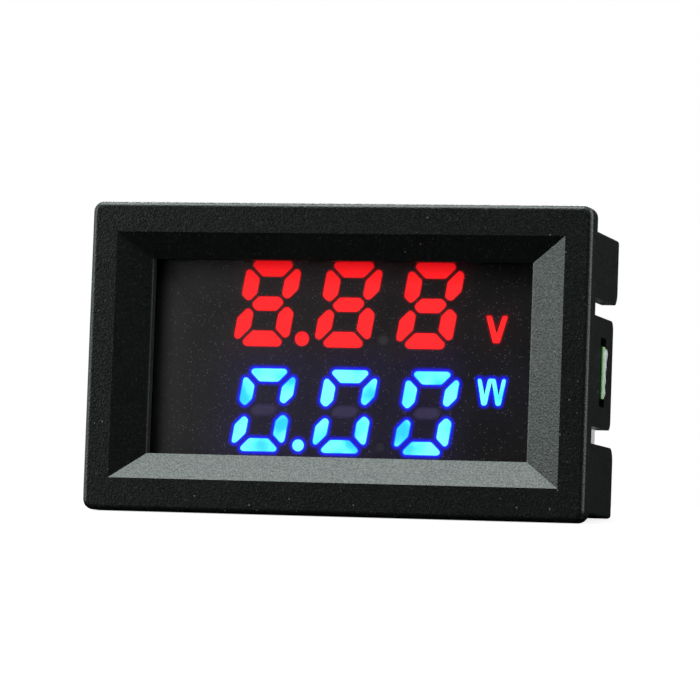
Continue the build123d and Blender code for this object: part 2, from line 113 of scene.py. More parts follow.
def add(tree, kind, sockets=None, **settings):
    """A shader node of a kind, with its settings and its inputs."""
    node = tree.nodes.new("ShaderNode" + kind)
    for key, value in settings.items():
        setattr(node, key, value)
    for key, value in (sockets or {}).items():
        feed(node, key, value)
    return node


def calc(operation, a, b=0.0):
    """One sum of a socket and another value."""
    return add(a.id_data, "Math", {0: a, 1: b}, operation=operation).outputs[0]


def blend(factor, *colours):
    """The first colour where the factor is 0 and the second where it is 1, each a socket or RGB."""
    a, b = ((*colour, 1) if isinstance(colour, tuple) else colour for colour in colours)
    return add(factor.id_data, "Mix", {0: factor, 6: a, 7: b}, data_type="RGBA").outputs[2]


def ramp(value, low, high, start=0.0, end=1.0, smooth=True):
    """A socket's value moved from low..high to start..end, held at both ends."""
    kind = "SMOOTHSTEP" if smooth else "LINEAR"
    sockets = {"Value": value, "From Min": low, "From Max": high, "To Min": start, "To Max": end}
    return add(value.id_data, "MapRange", sockets, interpolation_type=kind).outputs[0]


def new_finish(name):
    """A material with a Principled shader: the material, its tree and the shader."""
    material = bpy.data.materials.new(name)
    material.use_nodes = True
    tree = material.node_tree
    tree.nodes.clear()
    shader = add(tree, "BsdfPrincipled")
    add(tree, "OutputMaterial", {0: shader.outputs[0]})
    return material, tree, shader


def object_place(tree):
    """Place on the object in millimetres, as a vector and as X, Y and Z."""
    place = add(tree, "TexCoord").outputs["Object"]
    scaled = add(tree, "VectorMath", {0: place, "Scale": 1 / MM}, operation="SCALE").outputs[0]
    return scaled, add(tree, "SeparateXYZ", {0: scaled}).outputs


def paint(material, *names):
    """Give CAD nodes a finish."""
    for name in names:
        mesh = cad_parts[name].data
        mesh.materials.clear()
        mesh.materials.append(material)


print("helpers ready")

# %% [markdown]
# ## Shared effects
# Three effects turn up on many pieces, so each is a shader group. Moulded grain is the spark-eroded texture
# of a mould: bumps a fifth of a millimetre wide, a mask of their peaks, and slow patches of tone. Dust is a
# sparse scatter of tiny pale specks: a cell pattern whose cells only now and then hold a dot. Drawn lines
# run along one axis of a piece of metal.

# %% Moulded grain, dust and drawn lines
def new_group(name, values, outputs):
    """An empty shader group with a place, number inputs and number outputs: its tree, inputs and output node."""
    tree = bpy.data.node_groups.new(name, "ShaderNodeTree")
    tree.interface.new_socket("Place", in_out="INPUT", socket_type="NodeSocketVector")
    for key, value in values.items():
        tree.interface.new_socket(key, in_out="INPUT", socket_type="NodeSocketFloat").default_value = value
    for key in outputs:
        tree.interface.new_socket(key, in_out="OUTPUT", socket_type="NodeSocketFloat")
    return tree, tree.nodes.new("NodeGroupInput").outputs, tree.nodes.new("NodeGroupOutput")


grain_group, given, result = new_group("moulded_grain", {"Grain per mm": 6.0}, ["Height", "Tone", "Peaks"])
grain_size = {"Vector": given["Place"], "Scale": given["Grain per mm"]}
fine = add(grain_group, "TexNoise", {**grain_size, "Detail": 2.0})
pits = add(grain_group, "TexVoronoi", grain_size)
slow = add(grain_group, "TexNoise", {"Vector": given["Place"], "Scale": 0.35, "Detail": 4.0})
half_pits = calc("MULTIPLY", pits.outputs[0], 0.5)
feed(result, "Height", calc("ADD", fine.outputs[0], half_pits))
feed(result, "Tone", ramp(slow.outputs[0], 0.3, 0.7))
feed(result, "Peaks", ramp(fine.outputs[0], 0.58, 0.76))

dust_group, given, result = new_group("dust", {"Cells per mm": 1.5, "Share": 0.1, "Size": 0.1}, ["Specks"])
cells = add(dust_group, "TexVoronoi", {"Vector": given["Place"], "Scale": given["Cells per mm"]})
lot = add(dust_group, "SeparateColor", {0: cells.outputs["Color"]}).outputs[0]
chosen = calc("LESS_THAN", lot, given["Share"])
dot = calc("LESS_THAN", cells.outputs["Distance"], given["Size"])
feed(result, "Specks", calc("MULTIPLY", chosen, dot))

drawn_group, given, result = new_group("drawn_lines", {"Lines per mm": 12.0}, ["Lines", "Tone"])
line_size = {"Vector": given["Place"], "Scale": given["Lines per mm"]}
drawn = add(drawn_group, "TexNoise", {**line_size, "Detail": 3.0})
stain = add(drawn_group, "TexNoise", {"Vector": given["Place"], "Scale": 0.8, "Detail": 3.0})
feed(result, "Lines", drawn.outputs[0])
feed(result, "Tone", ramp(stain.outputs[0], 0.35, 0.65))


def grain_of(place, per_mm=6.0):
    """The grain group at a place, with so many grains to the millimetre: its outputs."""
    sockets = {"Place": place, "Grain per mm": per_mm}
    return add(place.id_data, "Group", sockets, node_tree=grain_group).outputs


def dust_of(place, cells, share, size):
    """The dust group at a place: cells per mm, share of cells with a speck and speck size in cells."""
    sockets = {"Place": place, "Cells per mm": cells, "Share": share, "Size": size}
    return add(place.id_data, "Group", sockets, node_tree=dust_group).outputs[0]


print("groups:", [g.name for g in bpy.data.node_groups])

# %% [markdown]
# ## Plastics and metals
# Most pieces are mouldings or tinned metal. A moulded finish blends two close tones by the slow patches,
# changes roughness with the same patches and takes its bumps from the grain. A metal finish does the same
# with drawn lines. The values per piece are tone, roughness, grain size and how deep the grain is.

# %% Moulded and metal finishes
def bumped(shader, height, depth):
    """Bumps on a shader, of a depth in mm, from a height between 0 and 1."""
    sockets = {"Strength": 1.0, "Distance": depth * MM, "Height": height}
    feed(shader, "Normal", add(shader.id_data, "Bump", sockets).outputs[0])


def moulded(name, dark, light, rough, grain, depth):
    """Plastic with mould grain: two tones, a roughness range, grains per mm and grain depth in mm."""
    material, tree, shader = new_finish(name)
    grained = grain_of(object_place(tree)[0], grain)
    feed(shader, "Base Color", blend(grained["Tone"], dark, light))
    feed(shader, "Roughness", ramp(grained["Tone"], 0, 1, *rough))
    bumped(shader, grained["Height"], depth)
    return material, tree, shader


def metal(name, dark, light, rough, stretch=(1, 0.05, 1), depth=0.004):
    """Metal with drawn lines: two tones, a roughness range and how the lines are stretched along X, Y and Z."""
    material, tree, shader = new_finish(name)
    drawn_out = add(tree, "Mapping", {"Vector": object_place(tree)[0], "Scale": stretch})
    lines = add(tree, "Group", {"Place": drawn_out.outputs[0]}, node_tree=drawn_group)
    feed(shader, "Base Color", blend(lines.outputs["Tone"], dark, light))
    feed(shader, "Roughness", ramp(lines.outputs["Lines"], 0.3, 0.7, *rough))
    bumped(shader, lines.outputs["Lines"], depth)
    feed(shader, "Metallic", 1.0)
    return material


PLASTICS = {
    "chip_black": ((0.018, 0.018, 0.019), (0.03, 0.03, 0.031), (0.5, 0.62), 9.0, 0.01),
    "header_white": ((0.78, 0.77, 0.73), (0.86, 0.85, 0.82), (0.38, 0.5), 3.0, 0.006),
    "trimmer_blue": ((0.02, 0.09, 0.36), (0.035, 0.13, 0.45), (0.36, 0.48), 5.0, 0.008),
    "ceramic_tan": ((0.42, 0.29, 0.17), (0.52, 0.39, 0.25), (0.45, 0.6), 8.0, 0.01),
    "resistor_black": ((0.012, 0.012, 0.014), (0.022, 0.022, 0.026), (0.25, 0.35), 6.0, 0.006),
    "base_tan": ((0.42, 0.37, 0.22), (0.52, 0.46, 0.3), (0.5, 0.62), 4.0, 0.01),
    "display_dark": ((0.018, 0.017, 0.021), (0.026, 0.025, 0.03), (0.5, 0.6), 5.0, 0.01),
}
plastic = {name: moulded(name, *values)[0] for name, values in PLASTICS.items()}
tinned_metal = metal("tinned_metal", (0.62, 0.62, 0.6), (0.78, 0.78, 0.75), (0.22, 0.38))
brass = metal("rotor_brass", (0.66, 0.5, 0.22), (0.8, 0.64, 0.32), (0.25, 0.4), stretch=(1, 1, 0.1))
alloy = metal("shunt_alloy", (0.56, 0.45, 0.36), (0.68, 0.57, 0.48), (0.24, 0.4), stretch=(0.1, 0.1, 1))

paint(plastic["header_white"], "supply_header", "load_header")
paint(tinned_metal, "display_pins", "chip_leads", "chip_terminals", "supply_pins", "load_pins")
paint(plastic["trimmer_blue"], "voltage_trimmer_body", "current_trimmer_body")
paint(brass, "voltage_trimmer_rotor", "current_trimmer_rotor")
paint(plastic["ceramic_tan"], "chip_capacitors")
paint(plastic["resistor_black"], "chip_resistors")
paint(plastic["base_tan"], "display_base", "red_led_chips", "blue_led_chips")
paint(plastic["display_dark"], "display_shell")
print("finishes:", len(bpy.data.materials))

# %% [markdown]
# The bezel's black moulding gets a finish of its own, because it fills most of the picture. Its grain is
# coarse enough to sparkle: its pits are duller than its peaks, so the roughness follows the grain's height.
# Its peaks and a sparse scatter of specks are painted paler as glints, and the specks are partly dust. Its
# reflections are faintly green. The slopes run out in a thin edge at the window, and a painted highlight lies
# along that edge at both sides, where it catches the light. Those edges are found from the place on the part:
# close to the window's sides.

# %% Black moulding
WINDOW_HALF = (18.25, 9.15)
WINDOW_Z = 0.1
EDGE_HIGHLIGHT_WIDTH = (0.14, 0.02)

black_moulding, tree, shader = new_finish("black_moulding")
place, axis = object_place(tree)
grained = grain_of(place, 5.2)
bumped(shader, grained["Height"], 0.026)
feed(shader, "Roughness", ramp(grained["Height"], 0.5, 0.95, 0.42, 0.29))
from_side = calc("SUBTRACT", calc("ABSOLUTE", axis[0]), WINDOW_HALF[0])
from_middle = calc("ABSOLUTE", calc("SUBTRACT", axis[2], WINDOW_Z))
from_top = calc("SUBTRACT", from_middle, WINDOW_HALF[1])
in_front = calc("LESS_THAN", calc("MAXIMUM", from_top, axis[1]), 0.0)
# painted highlight along the window's side edges, where the thin edge catches the light
edge_highlight = calc("MULTIPLY", ramp(calc("ABSOLUTE", from_side), *EDGE_HIGHLIGHT_WIDTH), in_front)
edge_highlight = calc("MULTIPLY", edge_highlight, ramp(grained["Peaks"], 0, 0.6, 0.4, 1.0))
# pale specks: partly dust, partly painted glints
specks = dust_of(place, 1.3, 0.13, 0.10)
colour = blend(grained["Tone"], (0.0042, 0.0048, 0.0047), (0.0055, 0.0063, 0.0061))
# grain peaks painted paler: painted glints of the grain
colour = blend(calc("MULTIPLY", grained["Peaks"], 0.7), colour, (0.045, 0.050, 0.049))
colour = blend(edge_highlight, colour, (0.13, 0.14, 0.135))
colour = blend(specks, colour, (0.12, 0.13, 0.127))
feed(shader, "Base Color", colour)
feed(shader, "Specular Tint", (0.87, 1.0, 0.97, 1))
paint(black_moulding, "housing")
print("window edge at", WINDOW_HALF, "mm")

# %% [markdown]
# ## Surfaces from arrays
# New pieces are grids of points worked out as whole arrays. A grid of rows and columns becomes quads
# between neighbouring points. The faces are turned so that they look outwards: along a given direction on
# an open surface, or so that the enclosed volume is positive on a closed one. A ring that shrinks to a point
# is welded there, so a dome or a wire's end is closed.

# %% Grid surfaces
def quads(rows, columns, ring=False):
    """Corner numbers of the quads of a grid, whose columns close to a ring if asked."""
    row = np.arange(rows - 1)[:, None]
    column = np.arange(columns if ring else columns - 1)[None, :]
    beside = (column + 1) % columns
    near, far = row * columns, (row + 1) * columns
    corners = [near + column, near + beside, far + beside, far + column]
    return np.stack(corners, -1).reshape(-1, 4)


def welded(points, faces):
    """Points that fall together made one: the points left, and the faces as quads and as triangles."""
    _, first, same = np.unique(np.round(points, 4), axis=0, return_index=True, return_inverse=True)
    order = np.argsort(first)
    rank = np.empty(len(order), int)
    rank[order] = np.arange(len(order))
    faces = rank[same.ravel()][faces]
    again = faces == np.roll(faces, -1, axis=1)
    whole = ~again.any(1)
    pointed = again.sum(1) == 1
    return points[first[order]], faces[whole], faces[pointed][~again[pointed]].reshape(-1, 3)


def piece(name, points, faces, material, slot, towards=None, replaces=(), body="meter", smooth=True):
    """A mesh piece from points in mm and quads, facing outwards, painted and riding on a body."""
    points = np.asarray(points, float).reshape(-1, 3)
    corners = points[faces]
    normals = np.cross(corners[:, 2] - corners[:, 0], corners[:, 3] - corners[:, 1])
    outward = (normals @ np.array(towards, float)).sum() if towards else (normals * corners.mean(1)).sum()
    if outward < 0:
        faces = faces[:, ::-1]
    points, faces, tips = welded(points, faces)
    mesh = bpy.data.meshes.new(name)
    mesh.from_pydata((points * MM).tolist(), [], faces.tolist() + tips.tolist())
    mesh.polygons.foreach_set("use_smooth", np.full(len(mesh.polygons), smooth))
    mesh.update()
    mesh.materials.append(material)
    made = bpy.data.objects.new(name, mesh)
    scene.collection.objects.link(made)
    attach(made, body)
    if replaces:
        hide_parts(*replaces)
    print(name, len(points), "points", len(mesh.polygons), "faces")
    return made


def copies(shapes, faces):
    """Faces of several equal grids: shapes is (copies, points, 3)."""
    start = np.arange(len(shapes))[:, None, None] * shapes.shape[1]
    return (faces[None] + start).reshape(-1, faces.shape[1])


print("a grid of 3 by 4 points has", len(quads(3, 4)), "quads")

# %% [markdown]
# ## The display's face
# Each segment is a cast fill in a dark shell, and a printed film on the shell's face hides the ragged edge
# of the resin. Light leaks a little way under the film, so each lit segment has a soft coloured rim: thin and
# red in the upper row, broad and deep blue in the lower one. The film is a fine grid that stores, at every
# point, the distance to the nearest lit or dark fill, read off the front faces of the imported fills. The
# corners of a segment come out round, as a milling cutter leaves them: only what a disc of the cutter's size
# can sweep inside the fill is open. The strokes of the unit marks are thinner than the disc, so they are only
# averaged a little, and the depth of the blue mark is stretched to give it a bright core too.

# %% Distances to the fills
FAR = 99.0
FLATNESS = 0.01


def front_of(node):
    """Triangles of a node's foremost plane, as X and Z in mm: (triangles, 3, 2)."""
    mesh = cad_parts[node].data
    points = np.empty(len(mesh.vertices) * 3)
    mesh.vertices.foreach_get("co", points)
    points = points.reshape(-1, 3) / MM
    mesh.calc_loop_triangles()
    corners = np.empty(len(mesh.loop_triangles) * 3, int)
    mesh.loop_triangles.foreach_get("vertices", corners)
    triangles = points[corners].reshape(-1, 3, 3)
    front = triangles[..., 1].max(1) < points[:, 1].min() + FLATNESS
    return triangles[front][..., [0, 2]]


def outline_of(triangles):
    """Edges that belong to one triangle only: (edges, 2, 2)."""
    edges = triangles[:, [[0, 1], [1, 2], [2, 0]]].reshape(-1, 2, 2)
    key = np.round(edges, 3)
    (x0, z0), (x1, z1) = key[:, 0].T, key[:, 1].T
    backwards = (x0 > x1) | ((x0 == x1) & (z0 > z1))
    key[backwards] = key[backwards][:, ::-1]
    _, first, count = np.unique(key.reshape(-1, 4), axis=0, return_index=True, return_counts=True)
    return edges[first[count == 1]]


def distance_to(nodes, x, z):
    """Distance in mm from every point to the nearest outline edge of the nodes, negative inside a fill."""
    triangles = np.concatenate([front_of(node) for node in nodes])
    here = np.stack([x, z], -1)
    nearest = np.full(x.shape, FAR)
    for start, end in outline_of(triangles):
        run = end - start
        along = np.clip(((here - start) @ run) / (run @ run), 0, 1)
        nearest = np.minimum(nearest, np.linalg.norm(here - start - along[..., None] * run, axis=-1))
    inside = np.zeros(x.shape, bool)
    for corner in triangles:
        step_x, step_z = (np.roll(corner, -1, 0) - corner).T[..., None, None]
        from_x, from_z = x - corner[:, 0, None, None], z - corner[:, 1, None, None]
        side = step_x * from_z - step_z * from_x
        inside |= (side >= 0).all(0) | (side <= 0).all(0)
    return np.where(inside, -nearest, nearest)


print("front triangles of the dark fills:", len(front_of("unlit_segments")))

# %% Softened and milled distances
STEP = 0.1
CUTTER = 0.34


def softened(field, width):
    """A field averaged along rows and columns with a bell curve, width in grid steps."""
    reach = int(np.ceil(3 * width))
    bell = np.exp(-0.5 * (np.arange(-reach, reach + 1) / width) ** 2)
    bell /= bell.sum()
    padded = np.pad(field, reach, mode="edge")
    rows = sum(share * padded[:, i : i + field.shape[1]] for i, share in enumerate(bell))
    return sum(share * rows[i : i + field.shape[0]] for i, share in enumerate(bell))


def milled(field, radius):
    """Distances to the area that discs at least of a radius sweep inside a shape: the least sum of the way to
    a disc's centre and the distance there, over all grid points that lie deep enough to be a centre."""
    reach = int(round(2.2 * radius / STEP))
    centres = np.pad(np.where(field < -radius, field, FAR), reach, constant_values=FAR)
    rows, columns = field.shape
    swept = np.full(field.shape, FAR)
    for down in range(2 * reach + 1):
        for across in range(2 * reach + 1):
            way = STEP * np.hypot(down - reach, across - reach)
            swept = np.minimum(swept, centres[down : down + rows, across : across + columns] + way)
    return np.where(field < radius, np.minimum(swept, field + radius), field)


print("cutter radius", CUTTER, "mm on a grid of", STEP, "mm")

# %% Film grid
LIT_RED = ["red_digit_left", "red_digit_middle", "red_digit_right", "volt_mark"]
LIT_BLUE = ["blue_digit_left", "blue_digit_middle", "blue_digit_right", "watt_mark"]
DIGIT_BLUR, MARK_BLUR, DARK_BLUR = 0.7, 1.4, 2.6
VOLT_SPREAD, WATT_SPREAD, WATT_STRETCH = 0.05, 0.08, 2.5

low, high = box_mm("display_shell")
x, z = np.meshgrid(*(np.arange(low[i], high[i] + STEP / 2, STEP) for i in (0, 2)))
volt = softened(distance_to(LIT_RED[-1:], x, z), MARK_BLUR) - VOLT_SPREAD
watt = distance_to(LIT_BLUE[-1:], x, z)
watt = softened(np.where(watt < 0, WATT_STRETCH * watt, watt) - WATT_SPREAD, MARK_BLUR)
red_digits = softened(milled(distance_to(LIT_RED[:-1], x, z), CUTTER), DIGIT_BLUR)
blue_digits = softened(milled(distance_to(LIT_BLUE[:-1], x, z), CUTTER), DIGIT_BLUR)
reach = {
    "red_edge": np.minimum(red_digits, volt),
    "blue_edge": np.minimum(blue_digits, watt),
    "dark_edge": softened(distance_to(["unlit_segments"], x, z), DARK_BLUR),
}
print("film grid", x.shape, {k: (round(v.min(), 2), round(v.max(), 2)) for k, v in reach.items()})

# %% [markdown]
# The film's finish reads those distances. Inside a fill the film is clear, so the fill behind it shows. From
# the edge outwards it is dark, with the rim of light added as emission: a short bell for red, a longer one
# for blue, and a wide faint wash that tints the whole middle of the display and hardly reaches
# the unit marks.

# %% Printed film: openings and light
OPEN_RED, OPEN_BLUE, OPEN_DARK = (-0.10, 0.10), (-0.20, -0.06), (-0.34, 0.16)
RIM_RED, RIM_BLUE = (0.24, -0.10), (0.34, -0.06)
WASH_RED, WASH_BLUE, WASH_END = (2.5, 0.0), (4.5, 0.0), (13.0, 9.5)

film, tree, shader = new_finish("display_film")
place, axis = object_place(tree)
red, blue, dark = (add(tree, "Attribute", attribute_name=name).outputs["Fac"] for name in reach)
open_red = ramp(red, *OPEN_RED)
open_blue = ramp(blue, *OPEN_BLUE)
open_dark = ramp(dark, *OPEN_DARK, 0.3, 1.0)
feed(shader, "Alpha", calc("MINIMUM", calc("MINIMUM", open_red, open_blue), open_dark))
rim_red = calc("POWER", ramp(red, *RIM_RED, smooth=False), 3.0)
rim_blue = calc("POWER", ramp(blue, *RIM_BLUE, smooth=False), 1.6)
wash_red = calc("POWER", ramp(red, *WASH_RED, smooth=False), 2.0)
wash_blue = calc("POWER", ramp(blue, *WASH_BLUE, smooth=False), 2.0)
wash_blue = calc("MULTIPLY", wash_blue, ramp(axis[0], *WASH_END, 0.2, 1.0))
light = None
for factor, colour in (
    (rim_red, (1.0, 0.008, 0.012)),
    (rim_blue, (0.006, 0.008, 1.5)),
    (wash_red, (0.010, 0.0015, 0.002)),
    (wash_blue, (0.006, 0.002, 0.030)),
):
    glow = blend(factor, (0, 0, 0), colour)
    light = add(tree, "VectorMath", {0: light, 1: glow}, operation="ADD").outputs[0] if light else glow
feed(shader, "Emission Color", light)
feed(shader, "Emission Strength", 1.0)
print("film nodes so far:", len(tree.nodes))

# %% [markdown]
# Handling has left a grey haze on the print, and its tone carries painted light: strongest at the left and
# along the top, thinning out to the right as the light from the left falls off, with a painted shadow of the
# window's left wall right next to that wall. A painted mask would need a picture, so the haze is a ramp along
# each axis instead. Flecks of the grain, stronger where the painted light is, and fine dust stand out in it.

# %% Printed film: haze
PAINTED_LIGHT_X, WALL_SHADOW_X = (14.0, -16.0), (-18.1, -17.0)
CORNER_LIGHT_X, CORNER_LIGHT_Z = (-14.5, -17.2), (4.5, 8.6)
FILM_GAP = 0.02

grained = grain_of(place)
# painted light: the haze is brightest at the left and falls off to the right
painted_light = ramp(axis[0], *PAINTED_LIGHT_X, smooth=False)
tone = blend(painted_light, (0.0045, 0.0042, 0.0060), (0.026, 0.026, 0.0285))
# painted light: brighter still towards the top left corner
corner = calc("MAXIMUM", ramp(axis[0], *CORNER_LIGHT_X), ramp(axis[2], *CORNER_LIGHT_Z))
tone = blend(calc("MULTIPLY", painted_light, corner), tone, (0.052, 0.052, 0.055))
# grain flecks, stronger where the painted light is
flecks = calc("MULTIPLY", grained["Peaks"], ramp(painted_light, 0, 1, 0.25, 0.8))
tone = blend(flecks, tone, (0.10, 0.10, 0.103))
tone = blend(dust_of(place, 4.2, 0.3, 0.2), tone, (0.19, 0.19, 0.195))
# painted shadow of the window's left wall on the film
tone = blend(ramp(axis[0], *WALL_SHADOW_X), (0.001, 0.001, 0.001), tone)
feed(shader, "Base Color", blend(rim_blue, tone, (0.002, 0.002, 0.004)))
feed(shader, "Roughness", ramp(grained["Tone"], 0, 1, 0.5, 0.6))

film_points = np.stack([x, np.full(x.shape, low[1] - FILM_GAP), z], -1)
display_film = piece("display_film", film_points, quads(*x.shape), film, "display_face", towards=(0, -1, 0))
for name, field in reach.items():
    attribute = display_film.data.attributes.new(name, "FLOAT", "POINT")
    attribute.data.foreach_set("value", field.ravel().astype(np.float32))

# %% [markdown]
# The lit fills glow by themselves. Red resin is even; its red is painted a little deeper towards the top of the
# row, as shade under the window's top edge. Blue dies behind milky resin are brighter in some segments than in
# others, so the blue finish drifts between cyan and nearly white. The dark fills are the same milky resin with no
# light behind it. A faint grey glow is painted on them as light into the shaded recess, stronger in the upper
# row, and those in the blue row take a faint violet glow from their lit neighbours.

# %% Lit and dark fills
def glowing(name, deep, bright, strength, drift, spread, rise):
    """A lit resin: two colours blended by slow patches, drift per mm, and by height on the row."""
    material, tree, shader = new_finish(name)
    place, axis = object_place(tree)
    patches = add(tree, "TexNoise", {"Vector": place, "Scale": drift, "Detail": 1.0}).outputs[0]
    height = ramp(axis[2], *rise, smooth=False)
    mixed = calc("MULTIPLY", ramp(patches, *spread), height)
    colour = blend(mixed, deep, bright)
    feed(shader, "Emission Color", colour)
    feed(shader, "Base Color", colour)
    feed(shader, "Emission Strength", strength)
    feed(shader, "Roughness", 0.45)
    return material


# the red row's red is painted deeper towards the top: painted shade under the window's top edge
lit_red = glowing("lit_red", (0.56, 0.002, 0.005), (1.0, 0.013, 0.0155), 1.6, 0.25, (0.05, 0.38), (9.2, 7.2))
lit_blue = glowing("lit_blue", (0.02, 0.46, 0.95), (0.15, 1.0, 1.0), 1.6, 0.4, (0.30, 0.62), (-12.0, -10.0))

BAR_TOP, BAR_FOOT, GREY_GLOW_RISE = (0.5, -0.5), (-6.6, -6.0), (-3.0, 1.0)
unlit_fill, tree, shader = moulded("unlit_fill", (0.075, 0.07, 0.08), (0.09, 0.085, 0.1), (0.4, 0.5), 3.0, 0.006)
_, axis = object_place(tree)
bars = calc("MULTIPLY", ramp(axis[2], *BAR_TOP), ramp(axis[2], *BAR_FOOT))
# painted light: a faint grey glow on the dark fills, stronger in the upper row
points = blend(ramp(axis[2], *GREY_GLOW_RISE), (0.010, 0.009, 0.014), (0.026, 0.026, 0.028))
feed(shader, "Emission Color", blend(bars, points, (0.038, 0.026, 0.100)))
feed(shader, "Emission Strength", 1.0)
paint(lit_red, *LIT_RED)
paint(lit_blue, *LIT_BLUE)
paint(unlit_fill, "unlit_segments")
print("lit fills:", len(LIT_RED) + len(LIT_BLUE))

# %% [markdown]
# ## Smoked sheet
# The window is a thin smoked sheet. Real absorption would dim the light by the sheet's thickness, and a
# sheet this thin does the same job with a little cover on each side and a soft gloss. Dust lies on it.

# %% Smoked sheet
smoked, tree, shader = new_finish("smoked_sheet")
place, _ = object_place(tree)
specks = dust_of(place, 1.1, 0.05, 0.055)
grained = grain_of(place, 2.0)
feed(shader, "Base Color", blend(specks, (0.006, 0.006, 0.007), (0.3, 0.3, 0.31)))
feed(shader, "Roughness", ramp(grained["Tone"], 0, 1, 0.2, 0.3))
feed(shader, "Alpha", ramp(specks, 0, 1, 0.16, 0.6, smooth=False))
feed(shader, "Specular IOR Level", 0.3)
paint(smoked, "filter_window")
print("smoked sheet done")

# %% [markdown]
# ## Circuit board
# The board is glass-fibre laminate under a green mask. Its cut edge shows the bare laminate, pale yellow
# green, with the mask as a thin dark line at the front, so the finish looks at the place: past the sleeve's
# wall it is edge, elsewhere mask.

# %% Board finish
board_low, board_high = box_mm("circuit_board")
MASK_END = board_low[1] + 0.35
MASK_FADE, EDGE_SKIN = 0.65, 0.02
green_board, tree, shader = moulded("green_board", (0.006, 0.07, 0.024), (0.01, 0.1, 0.034), (0.22, 0.34), 2.5, 0.004)
place, axis = object_place(tree)
fibres = add(tree, "TexNoise", {"Vector": place, "Scale": 7.0, "Detail": 3.0}).outputs[0]
bare = ramp(axis[1], MASK_END, MASK_END + MASK_FADE)
bare = calc("MULTIPLY", bare, ramp(fibres, 0.3, 0.55, 0.45, 1.0))
laminate = blend(bare, (0.13, 0.46, 0.10), (0.66, 0.86, 0.50))
side = calc("GREATER_THAN", calc("ABSOLUTE", axis[0]), board_high[0] - EDGE_SKIN)
skin = calc("GREATER_THAN", axis[1], MASK_END)
mask_colour = shader.inputs["Base Color"].links[0].from_socket
feed(shader, "Base Color", blend(calc("MULTIPLY", side, skin), mask_colour, laminate))
paint(green_board, "circuit_board")
print("board", np.round(board_high - board_low, 2), "mm")

# %% [markdown]
# ## Solder, pads and tracks
# Solder climbs each display pin in a small hollow cone: a profile turned about the pin. Pads are low domes
# with rounded-square outlines. Tracks are shallow ribs under the mask: a flat profile carried along a path
# with mitred corners. Plated holes are flat rings, turned in the same way, round a dark disc.

# %% Turned and domed surfaces
BACK = board_high[1]


def raised(flat, heights):
    """Points (x, z) set at heights y, in mm."""
    return np.stack([flat[..., 0], np.broadcast_to(heights, flat.shape[:-1]), flat[..., 1]], -1)


def superellipse(around, power):
    """Points (x, z) of a unit superellipse: a circle at power 2, a rounded square at higher powers."""
    angle = np.linspace(0, 2 * np.pi, around, endpoint=False)
    round_way = np.stack([np.cos(angle), np.sin(angle)], -1)
    return np.sign(round_way) * np.abs(round_way) ** (2 / power)


def turned(centres, radii, heights, around=18):
    """Profiles of radius and height turned about Y at each centre (x, z): points and quads."""
    rings = radii[:, None, None] * superellipse(around, 2.0)
    shapes = raised(centres[:, None, None] + rings, heights[:, None]).reshape(len(centres), -1, 3)
    return shapes, copies(shapes, quads(len(radii), around, ring=True))


def domed(centres, halves, height, base, power=5.0, rings=4, around=16):
    """Low domes with superellipse outlines at centres (x, z) with half sizes (x, z): points and quads."""
    share = np.linspace(1, 0, rings)
    flat = share[:, None, None] * superellipse(around, power)
    spread = centres[:, None, None] + flat * halves[:, None, None]
    shapes = raised(spread, (base + height * (1 - share**3))[:, None]).reshape(len(centres), -1, 3)
    return shapes, copies(shapes, quads(rings, around, ring=True))


print("board back at", round(BACK, 2), "mm")

# %% Ribs along paths
def ribbed(paths, width, height, base):
    """Ribs along polylines (x, z): a trapezium profile, mitred at each bend, closed at the ends or to a loop."""
    points, faces, start = [], [], 0
    for path in paths:
        path = np.asarray(path, float)
        path = path[np.append(True, np.abs(np.diff(path, axis=0)).max(1) > 1e-6)]
        loop = np.allclose(path[0], path[-1])
        run = np.diff(path, axis=0)
        run /= np.linalg.norm(run, axis=1)[:, None]
        if loop:
            path, before, after = path[:-1], np.roll(run, 1, axis=0), run
        else:
            before, after = np.vstack([run[:1], run]), np.vstack([run, run[-1:]])
        mitre = before + after
        mitre /= np.linalg.norm(mitre, axis=1)[:, None]
        across = np.stack([-mitre[:, 1], mitre[:, 0]], -1) / np.sum(mitre * after, 1)[:, None]
        offset = np.array([-width / 2, -width / 2 + height, width / 2 - height, width / 2])
        rise = np.array([0, height, height, 0]) + base
        flat = path[:, None] + across[:, None] * offset[None, :, None]
        points.append(raised(flat, rise).reshape(-1, 3))
        count = 4 * len(path)
        sides = quads(len(path) + loop, 4) % count
        ends = np.array([[3, 2, 1, 0], [count - 4, count - 3, count - 2, count - 1]])
        faces.append((sides if loop else np.concatenate([sides, ends])) + start)
        start += count
    return np.concatenate(points), np.concatenate(faces)


def on_board(name, shape, material, slot, smooth=True):
    """A piece from points and quads that shows on the back of the board."""
    piece(name, *shape, material, slot, towards=(0, 1, 0), smooth=smooth)


print("a straight rib has", len(ribbed([[(0, 0), (1, 0)]], 0.2, 0.02, BACK)[1]), "faces")

# %% Solder cones on the display pins
solder = metal("solder", (0.6, 0.6, 0.6), (0.76, 0.76, 0.76), (0.14, 0.3), stretch=(0.6, 0.6, 0.6), depth=0.01)
PIN_COUNT, PIN_HALF = 7, 0.25
pin_low, pin_high = box_mm("display_pins")
pin_x = np.linspace(pin_low[0] + PIN_HALF, pin_high[0] - PIN_HALF, PIN_COUNT)
pin_rows = np.array([pin_low[2] + PIN_HALF, pin_high[2] - PIN_HALF])
pins = np.stack(np.meshgrid(pin_x, pin_rows), -1).reshape(-1, 2)
cone_radius = np.array([0.74, 0.66, 0.54, 0.44, 0.37, 0.33, 0.2])
cone_height = BACK + np.array([0.0, 0.06, 0.16, 0.3, 0.46, 0.6, 0.62])
on_board("pin_solder", turned(pins, cone_radius, cone_height), solder, "tinned_metal")

